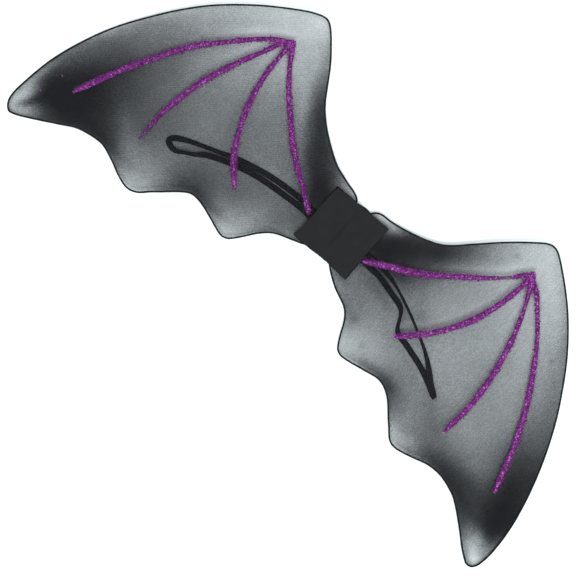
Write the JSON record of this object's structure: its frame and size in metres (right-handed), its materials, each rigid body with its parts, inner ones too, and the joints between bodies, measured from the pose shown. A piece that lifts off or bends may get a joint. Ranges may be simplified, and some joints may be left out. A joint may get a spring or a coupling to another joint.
{
  "type": "costume bat wings",
  "caption": "Flat costume bat wings: wire loops covered in sheer black stocking with purple glitter ribs, felt pads at the middle and elastic arm loops.",
  "frame": {"origin": "on the underside of the back felt pad, on the middle line between the two wings", "axes": "+X along the right wing, +Y up the wearer's back towards the wings' peaks, +Z out of the outer side, away from the surface it lies on"},
  "size_m": [0.6983, 0.3049, 0.0123],
  "materials": {
    "wire": "craft wire wrapped in the gathered black hem of the stocking",
    "stocking": "sheer fine-knit black nylon in two stretched layers, see-through where it is tightest",
    "glitter": "dried clear glue full of fine purple and pink glitter",
    "elastic": "flat braided black elastic, ribbed along its length",
    "felt": "black craft felt with a short matted nap"
  },
  "bodies": {
    "root": {"frame_left": "wire", "frame_right": "wire", "mesh_left": "stocking", "mesh_right": "stocking", "veins_left": "glitter", "veins_right": "glitter", "arm_loop_left": "elastic", "arm_loop_right": "elastic", "pad_back": "felt", "pad_front": "felt"}
  },
  "joints": []
}
